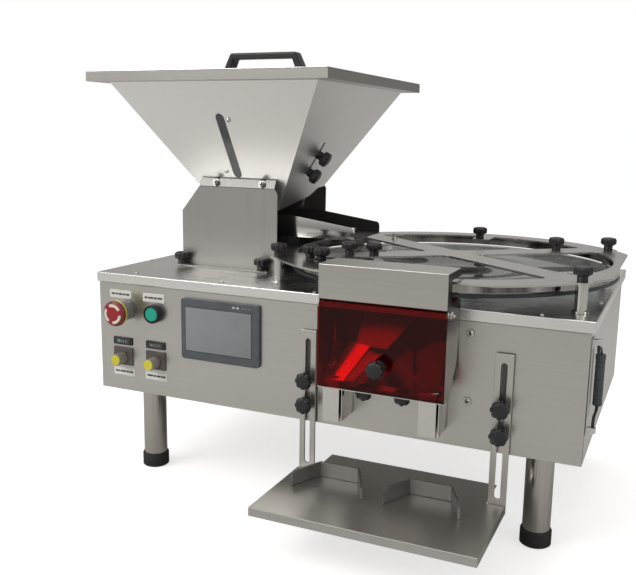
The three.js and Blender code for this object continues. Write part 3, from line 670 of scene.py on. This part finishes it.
def strip(plan, low, high, thick):
    """A thin upright strip that follows plan points."""
    clear()
    bpy.ops.mesh.primitive_plane_add(size=1, location=(0, 0, 0))
    piece = bpy.context.object
    first = [at(*plan[0], low), at(*plan[1], low), at(*plan[0], high), at(*plan[1], high)]
    for point, corner in zip(piece.data.vertices, first):
        point.co = corner
    end = at(*plan[1], (low + high) / 2)
    pick(piece, lambda p, _e: (p - end).length < 1e-5, "EDGE")
    for here, there in zip(plan[1:], plan[2:]):
        step = at(*there, 0) - at(*here, 0)
        bpy.ops.mesh.extrude_region_move(TRANSFORM_OT_translate={"value": step})
    set_down()
    apply(piece, "SOLIDIFY", thickness=thick * MM, offset=0)
    recalculate(piece)
    return piece


def arc(radius, start, end, steps):
    angles = [math.radians(start + (end - start) * i / steps) for i in range(steps + 1)]
    return [(RING.x + radius * math.cos(a), RING.y + radius * math.sin(a)) for a in angles]


def guides():
    outer = strip(arc(231, 200, 248, 20), 358, 369.4, 2)
    settle(coat(outer, bright_steel), "guide_outer_strip", None,
           replaces=("guide_outer",))
    plan = arc(164, 185, 216, 14) + [(402, 118), (421, 125), (446, 70), (458, 10)]
    inner = strip(plan, 358, 369.4, 2)
    settle(coat(inner, bright_steel), "guide_inner_strip", None,
           replaces=("guide_inner",))
    knobs = [(347, 58), (373, 40), (385, 118), (421, 128), (511.6, 425), (657, 344)]
    for i, (x, y) in enumerate(knobs):
        fit(star_knob, f"guide_knob_{i + 1}", at(x, y, RING_TOP), UP, turn=0.3 * i)
    stud = coat(turned([(5, 373), (5, 375), (3, 376), (3, 382), (2, 383)], 24), bright_steel)
    settle(aimed(stud, UP, at(381, 336, 0)), "spoke_stud", None)


# ------------------------------------------------------------------ hopper, stand and chute
# The funnel's middle, and its half widths and heights at the neck and the mouth.
FUNNEL_X = 181.7
NECK_HALF, NECK_Z = 55, 427
MOUTH_HALF, MOUTH_Z = 181, 629.1


def hopper():
    dress(hopper_steel, "hopper_funnel", edge=0.6)
    dress(panel_steel, "hopper_lid", edge=0.6)
    dress(sight_grey, "sight_window")
    dress(knob_black, "lid_handle", edge=3.0, segments=4)
    slope = math.atan((MOUTH_HALF - NECK_HALF) / (MOUTH_Z - NECK_Z))
    outward = Vector((0, -math.cos(slope), -math.sin(slope)))
    for i, (x, y, z) in enumerate(((196, 79, 571), (163, 129.5, 491))):
        fit(pan_screw, f"hopper_screw_{i + 1}", at(x, y, z), outward)
    # The gate's plate slides inside the right wall, and its two clamp knobs ride outside it.
    side_out = Vector((math.cos(slope), 0, -math.sin(slope)))
    along = Vector((math.sin(slope), 0, math.cos(slope)))

    def wall_at(y, z):
        return at(FUNNEL_X + NECK_HALF + (z - NECK_Z) * math.tan(slope), y, z)

    plate = cube((-33 * MM, -78 * MM, 0), (33 * MM, 78 * MM, 2 * MM))
    soften(plate, 0.6)
    turn = Matrix((Vector((0, -1, 0)), along, side_out)).transposed().to_4x4()
    middle = wall_at(222.6, 469) - side_out * 5.2 * MM
    plate.data.transform(Matrix.Translation(middle) @ turn)
    settle(coat(plate, dark_steel), "gate_plate", None, "gate", ("flow_gate",))
    for i, z in enumerate((492, 520)):
        foot = wall_at(196, z)
        stud = coat(turned([(3, -4), (3, 3)], 20), bright_steel)
        settle(aimed(stud, side_out, foot), f"gate_stud_{i + 1}", None, "gate")
        fit(star_knob, f"gate_knob_{i + 1}", foot + side_out * 1.2 * MM, side_out, "gate", turn=0.2)


def stand():
    dress(stand_steel, "stand_front_plate", edge=0.5)
    dress(stand_steel, "stand_rear_plate", edge=0.5)
    # The flange leans back to the hopper, and its two bolts stand square to it.
    outward = Vector((0, -13, 6)).normalized()
    for i, x in enumerate((142.8, 227)):
        bolt = fit(hex_bolt, f"stand_bolt_{i + 1}", at(x, 131.2, 472), outward)
        coat(bolt, dull_plate)
    for i, x in enumerate((83, 233)):
        fit(washer, f"stand_washer_{i + 1}", at(x, 118, 334.6), UP)
        fit(star_knob, f"stand_knob_{i + 1}", at(x, 118, 335.8), UP)
    for i, x in enumerate((83, 233)):
        fit(star_knob, f"stand_knob_rear_{i + 1}", at(x, 327, 334.6), UP)


def chute():
    dress(motor_grey, "vibrator_base", edge=0.6)
    low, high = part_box("chute_trough")
    slope_start = at(262, 0, 0).x

    def trough(grow, top):
        piece = cube(low + Vector(grow), Vector((high.x, high.y - grow[1], top)))
        open_edit(piece)
        bpy.ops.mesh.select_all(action="SELECT")
        bpy.ops.mesh.bisect(plane_co=(slope_start, 0, 0), plane_no=(1, 0, 0))
        set_down()
        edge_top = top - 1e-5
        pick(piece, lambda p, f: p.z > edge_top or f.normal.x > 0.9)
        bpy.ops.mesh.delete(type="ONLY_FACE")
        set_down()
        pick(piece, lambda p, _v: p.z > edge_top and p.x > high.x - 1e-5, "VERT")
        bpy.ops.transform.translate(value=(0, 0, -15 * MM))
        bpy.ops.mesh.bevel(offset=9 * MM, segments=5, affect="VERTICES")
        set_down()
        return piece

    shell = trough((0, 0, 0), high.z)
    apply(shell, "SOLIDIFY", thickness=2 * MM, offset=-1)
    recalculate(shell)
    soften(shell, 0.4)
    settle(coat(shell, bright_steel), "chute_tray", None, "chute", ("chute_trough",))
    liner = trough((2.3 * MM, 2.3 * MM, 2.3 * MM), high.z - 0.4 * MM)
    apply(liner, "SOLIDIFY", thickness=0.6 * MM, offset=-1)
    recalculate(liner)
    settle(coat(liner, rubber_black), "chute_liner", None, "chute")


# ------------------------------------------------------------------ counting head
def chute_plate(name, plan, material, foot_y=-46, foot_z=229):
    """A drop plate that leans back inside the head: its plan is across and up its own slope."""
    foot, normal = at(0, foot_y, foot_z), Vector((-0.116, -0.843, 0.526)).normalized()
    up_slope = (UP - normal * normal.z).normalized()
    across = up_slope.cross(normal)
    origin = at(450, 0, 0).x
    clear()
    bpy.ops.mesh.primitive_circle_add(vertices=len(plan), radius=1, fill_type="NGON")
    plate = bpy.context.object
    for point, (x, rise) in zip(plate.data.vertices, plan):
        point.co = Vector((origin, foot.y, foot.z)) + across * (x - 450) * MM + up_slope * rise * MM
    apply(plate, "SOLIDIFY", thickness=1.2 * MM, offset=0)
    recalculate(plate)
    settle(coat(plate, material), name, None)


def head():
    dress(hood_steel, "counting_hood", edge=1.0)
    dress(red_acrylic, "red_window", edge=0.5)
    dress(bright_steel, "window_hinge_bar", edge=0.4)
    dress(bright_steel, "outlet_channel_left", "outlet_channel_right", edge=0.4)
    window_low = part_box("red_window")[0]
    knob_place = at(503, 0, 257)
    knob_place.y = window_low.y - 0.3 * MM
    fit(star_knob, "window_clamp_knob", knob_place + FRONT * 3 * MM, FRONT, "window",
        replaces=("window_knob",))
    collar = coat(turned([(9.6, 0), (9.6, 5.4), (8.6, 6.4), (7, 6.4)], 32), knob_black)
    settle(aimed(collar, FRONT, knob_place), "window_knob_collar", None, "window")
    for i, (x, z) in enumerate(((467, 207), (522, 208))):
        fit(star_knob, f"outlet_knob_{i + 1}", at(x, -8, z), FRONT)
    thumb = coat(turned([(3, 0), (3, 1.6), (5.4, 2.2), (5.4, 6.6), (4.6, 7.4), (1, 7.6)], 24), knob_black)
    settle(aimed(thumb, RIGHT, at(590.2, -14, 368)), "hood_side_knob", None)
    coat(fit(hex_bolt, "window_pivot_right", at(590, -54, 333), RIGHT), stand_steel)
    fit(pan_screw, "window_pivot_left", at(413.5, -54, 333), LEFT)
    # Inside the head: a dark plate painted as shade, and folded drop plates that lead the capsules to the two
    # outlets.
    shade_plate = cube(at(416, -3.4, 236), at(587.5, -2.2, 372))
    soften(shade_plate, 0.3, 1)
    settle(coat(shade_plate, painted_shade_steel), "head_shade_plate", None)
    # The drop plates' facets take lighter and darker steels as painted light and shade.
    chute_plate("drop_plate_left", [(416, -3), (447, -3), (473, 54), (440, 54), (427, 17), (416, 14)],
                bright_steel)
    chute_plate("drop_plate_left_low", [(449, -3), (462, 0), (494, 46), (476, 54)], dull_plate)
    chute_plate("drop_plate_left_wing", [(416, 17), (423, 18), (432, 52), (416, 54)], dull_plate)
    chute_plate("drop_plate_top", [(462, 2), (508, 0), (535, 48), (462, 50)], locator_steel, -40, 278)
    chute_plate("drop_plate_right", [(584, 4), (556, 0), (540, 52), (560, 74), (584, 70)], painted_shade_steel)
    chute_plate("drop_plate_middle", [(500, 2), (550, 2), (534, 54), (522, 58)], painted_shade_steel)
    for side, x in (("left", 428), ("right", 564)):
        wing = cube(at(x + 14.6, -43, 168), at(x + 15.8, -0.4, 222))
        soften(wing, 0.3)
        settle(coat(wing, bright_steel), f"outlet_wing_{side}", None)
    sill = cube(at(414, -60.4, 218.2), at(589.5, -40, 219.6))
    soften(sill, 0.4)
    settle(coat(sill, bright_steel), "window_sill", None)


# ------------------------------------------------------------------ bottle tray
def tray():
    dress(tray_steel, "bottle_tray", edge=0.8)
    dress(panel_steel, "tray_arm_left", "tray_arm_right", edge=0.5)
    # A dark strip behind each tray arm's slot: painted shade in the slot.
    for side, x in (("left", 375), ("right", 652.5)):
        slot_shade = cube(at(x - 2.7, -2.9, 206), at(x + 2.7, -2.3, 267))
        soften(slot_shade, 0.1, 1)
        settle(coat(slot_shade, painted_shade_steel), f"arm_slot_shade_strip_{side}", None, "tray")
    dress(locator_steel, "bottle_locator_left", "bottle_locator_right", edge=0.5)
    for side, x in (("left", 375), ("right", 652.5)):
        for level, z in (("lower", 173), ("upper", 209)):
            node = f"tray_knob_{side}_{level}"
            fit(star_knob, f"{node}_star", at(x, -6.3, z), FRONT, f"clamp_knob_{side}_{level}",
                replaces=(node,))
    for side, x in (("left", 434), ("right", 567)):
        fit(hex_bolt, f"locator_screw_{side}", at(x + 6, -10, 76.3), UP, f"locator_{side}")


# ------------------------------------------------------------------ controls
def label(name, x0, x1, z0, z1, bars):
    """A blank label plate with a row of plain grey bars."""
    plate = cube(at(x0, -0.7, z0), at(x1, -0.05, z1))
    soften(plate, 0.25, 1)
    coat(plate, white_label)
    parts = [plate]
    width = (x1 - x0 - 6) / sum(bars)
    x = x0 + 3
    middle = (z0 + z1) / 2
    for share in bars:
        bar = cube(at(x + 0.5, -0.85, middle - 1.5), at(x + share * width - 0.5, -0.6, middle + 1.5))
        soften(bar, 0.08, 1)
        parts.append(coat(bar, label_ink))
        x += share * width
    settle(together(parts), name, None)


def touch_panel():
    """A moulded bezel with round corners round a glass screen, and a plain row of marks above it."""
    low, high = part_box("touch_panel")
    panel = cube((low.x, low.y, low.z), (high.x, at(0, -0.3, 0).y, high.z))

    def upright(_p, edge):
        a, b = edge.verts
        return abs(a.co.y - b.co.y) > 1 * MM

    pick(panel, upright, "EDGE")
    bpy.ops.mesh.bevel(offset=5 * MM, segments=6)
    set_down()
    pick(panel, lambda _p, f: f.normal.y < -0.9)
    bpy.ops.mesh.inset(thickness=0.5 * MM, depth=0)
    screen_low, screen_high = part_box("touch_screen")
    set_down()
    soften(panel, 1.1, 3)
    pick(panel, lambda p, f: f.normal.y < -0.9 and f.calc_area() > 0.004)
    bpy.ops.mesh.extrude_region_move(TRANSFORM_OT_translate={"value": (0, 0, 0)})
    width, height = high.x - low.x - 3.2 * MM, high.z - low.z - 3.2 * MM
    share = ((screen_high.x - screen_low.x + 1.6 * MM) / width, 1,
             (screen_high.z - screen_low.z + 1.6 * MM) / height)
    bpy.ops.transform.resize(value=share, center_override=(screen_low + screen_high) / 2)
    bpy.ops.mesh.extrude_region_move(TRANSFORM_OT_translate={"value": (0, 0.9 * MM, 0)})
    set_down()
    recalculate(panel)
    body = cube((low.x + 7 * MM, at(0, -0.3, 0).y, low.z + 7 * MM),
                (high.x - 7 * MM, high.y, high.z - 7 * MM))
    soften(body, 1)
    panel = together([panel, body])
    settle(coat(panel, bezel_grey), "touch_bezel", None, replaces=("touch_panel",))
    glass = cube(screen_low, (screen_high.x, screen_high.y + 0.4 * MM, screen_high.z))
    soften(glass, 0.3, 2)
    settle(coat(glass, screen_grey), "touch_glass", None, replaces=("touch_screen",))
    marks = []
    for i, x in enumerate((251, 258, 268, 273, 278)):
        mark = cube(at(x, -5.3, 298.4), at(x + (3.6 if i < 2 else 2.2), -4.8, 300.4))
        soften(mark, 0.15, 1)
        marks.append(coat(mark, white_label if i < 2 else screen_grey))
    settle(together(marks), "touch_bezel_marks", None)


def in_groove(p, _v):
    """One in three of the skirt's outer points, which is drawn inwards as a groove."""
    return math.hypot(p.x, p.y) > 8.5 * MM and round(math.atan2(p.y, p.x) / math.pi * 30) % 3 == 0


# Where the emergency stop and the start button stand on the front panel.
ESTOP = at(57, 0, 275.5)
START = at(110.5, 0, 275.5)


def controls():
    touch_panel()
    dress(plate_dark, "speed_plate_left", "speed_plate_right", edge=0.5)
    dress(knob_black, "speed_display_left", "speed_display_right", edge=0.5)
    # Emergency stop: a dark body, and a red mushroom head with a yellow collar behind it.
    profile = [(15, 0), (19.4, 0), (20.2, 0.6), (20.2, 2.2), (19.4, 2.8), (15, 2.8)]
    ring = coat(turned(profile, 48), yellow_plastic)
    settle(aimed(ring, FRONT, at(57, -25.5, 275.5)), "estop_yellow_collar", None, "estop_mushroom")
    profile = [(11, -29), (11, 0.2), (15, 0.2), (15, 4), (14.4, 4.6), (15, 5.2), (15, 18.4), (13.5, 19.8),
               (6, 19.8)]
    base = coat(turned(profile, 40), knob_grey)
    settle(aimed(base, FRONT, ESTOP), "estop_body", None, "machine", ("estop_base",))
    stem = coat(turned([(4.5, -22), (4.5, 28)], 24), knob_grey)
    settle(aimed(stem, FRONT, ESTOP), "estop_stem_rod", None, "estop_stem",
           ("estop_plunger",))
    profile = [(12, 27.8), (19.4, 28), (20, 29.2), (20, 31.6), (19, 33.6), (17.4, 34.6)]
    rim = coat(turned(profile, 48), dull_red)
    face = coat(turned([(17.5, 34.4), (15.6, 35.4), (9, 36.8), (3, 37.1)], 48), red_plastic)
    arcs = []
    for i in range(3):
        clear()
        bpy.ops.mesh.primitive_cylinder_add(vertices=72, radius=15.4 * MM, depth=2 * MM,
                                            end_fill_type="NOTHING", location=(0, 0, 35.6 * MM))
        mark = bpy.context.object
        bpy.ops.object.transform_apply(location=True, rotation=True, scale=True)
        start = i * 120 + 28

        def outside(p, _f, start=start):
            angle = (math.degrees(math.atan2(p.y, p.x)) - start) % 360
            return angle > 88

        pick(mark, outside)
        bpy.ops.mesh.delete(type="FACE")
        set_down()
        apply(mark, "SOLIDIFY", thickness=4.2 * MM, offset=-1)
        recalculate(mark)
        arcs.append(coat(mark, cream_mark))
    cap = together([rim, face] + arcs)
    settle(aimed(cap, FRONT, ESTOP), "estop_mushroom_cap", None, "estop_mushroom",
           ("estop_head",))
    # Start button: a green face inside a black bezel.
    bezel = turned([(11, -29), (11, 0.2), (14.5, 0.2), (14.5, 10.6), (13.4, 12.5), (12.1, 12.5), (11.7, 11.6),
                    (11.7, 1.7)], 40)
    settle(aimed(coat(bezel, knob_black), FRONT, START), "start_bezel_ring", None, "machine",
           ("start_bezel",))
    face = turned([(11.2, 5.4), (11.2, 10.8), (10.4, 11.8), (5, 12.2), (1, 12.2)], 40)
    settle(aimed(coat(face, green_plastic), FRONT, START), "start_button_face", None, "start",
           ("start_button",))
    # Speed knobs: knurled grey skirts with yellow caps.
    for side, x, body in (("left", 48.5, "vibration_knob"), ("right", 110.5, "rotation_knob")):
        skirt = turned([(3, -11), (3, 2.8), (9, 2.8), (9, 20), (8.4, 20.8), (7.8, 20.8)], 60)
        pick(skirt, in_groove, "VERT")
        bpy.ops.transform.resize(value=(0.93, 0.93, 1), center_override=(0, 0, 0))
        set_down()
        coat(skirt, skirt_grey)
        cap = coat(turned([(8.1, 20.8), (8.1, 22.4), (7.4, 23), (2, 23)], 36), yellow_plastic)
        knob = aimed(together([skirt, cap]), FRONT, at(x, 0, 197.5))
        settle(knob, f"speed_knob_{side}_turned", None, body, (f"speed_knob_{side}",))
        window = cube(at(x - 13, -2.9, 220.8), at(x + 13, -2.4, 228.2))
        soften(window, 0.2, 1)
        parts = [coat(window, display_grey)]
        for place, wide in ((-9, 4.4), (-3.5, 2.4), (1, 2.4), (5.5, 2.4)):
            digit = cube(at(x + place, -3.05, 222.4), at(x + place + wide, -2.8, 226.6))
            soften(digit, 0.1, 1)
            parts.append(coat(digit, digit_green if side == "left" and place == -9 else knob_grey))
        settle(together(parts), f"display_digits_{side}", None)
    label("label_estop", 25, 66, 293.5, 306.5, (3, 2, 3, 2, 3))
    label("label_start", 88, 128, 292.5, 306.3, (2, 3, 2, 3))
    label("label_speed_left", 29, 70, 168, 181, (3, 4, 2, 3))
    label("label_speed_right", 90, 131, 168, 181, (4, 2, 3, 3))


# ------------------------------------------------------------------ carrying handle
def handle():
    """A wire bail that swings on two lugs, with a moulded grip on its long side."""
    dress(side_steel, "side_handle_bracket", edge=0.5)
    x, y, reach, low, high = 763, 18, 40, 192, 300
    stub, bend = 3, 9
    run_high, run_low = high - stub - bend, low + stub + bend

    def quarter(middle_y, middle_z, start, end):
        """Points of a round corner, as reach from the lugs and height."""
        angles = [math.radians(start + (end - start) * i / 6) for i in range(7)]
        return [(middle_y + bend * math.cos(a), middle_z + bend * math.sin(a)) for a in angles]

    path = [(0, high - 0.5)]
    path += quarter(bend, run_high + bend, 180, 270)
    path += quarter(reach - bend, run_high - bend, 90, 0)
    path += quarter(reach - bend, run_low + bend, 0, -90)
    path += quarter(bend, run_low - bend, 90, 180)
    path += [(0, low + 0.5)]
    clear()
    data = bpy.data.curves.new("bail", "CURVE")
    data.dimensions = "3D"
    data.bevel_depth = 2 * MM
    data.bevel_resolution = 4
    data.use_fill_caps = True
    spline = data.splines.new("POLY")
    spline.points.add(len(path) - 1)
    for place, (out, z) in zip(spline.points, path):
        place.co = (*at(x, y + out, z), 1)
    bail = bpy.data.objects.new("bail", data)
    bpy.context.scene.collection.objects.link(bail)
    only(bail)
    bpy.ops.object.convert(target="MESH")
    settle(coat(bpy.context.object, knob_black), "handle_bail", None, "carry_handle",
           ("side_handle",))
    foot, top = run_low + bend - 4, run_high - bend
    stations = [(4.5, foot), (6.1, foot + 1.4)]
    for groove in (foot + 9, foot + 36, top - 17, top - 11):
        stations += [(6.1, groove), (5.5, groove + 0.5), (5.5, groove + 1.1), (6.1, groove + 1.6)]
    stations += [(6.1, top - 7), (6.5, top - 6.4), (6.5, top - 1), (5.2, top)]
    settle(aimed(coat(turned(stations, 28), grip_grey), UP, at(x, y + reach, 0)), "handle_grip", None,
           "carry_handle")


set_camera()
cabinet()
legs()
turntable()
guides()
hopper()
stand()
chute()
head()
tray()
controls()
handle()
for master in masters:
    bpy.data.objects.remove(master)
set_floor()
set_light()
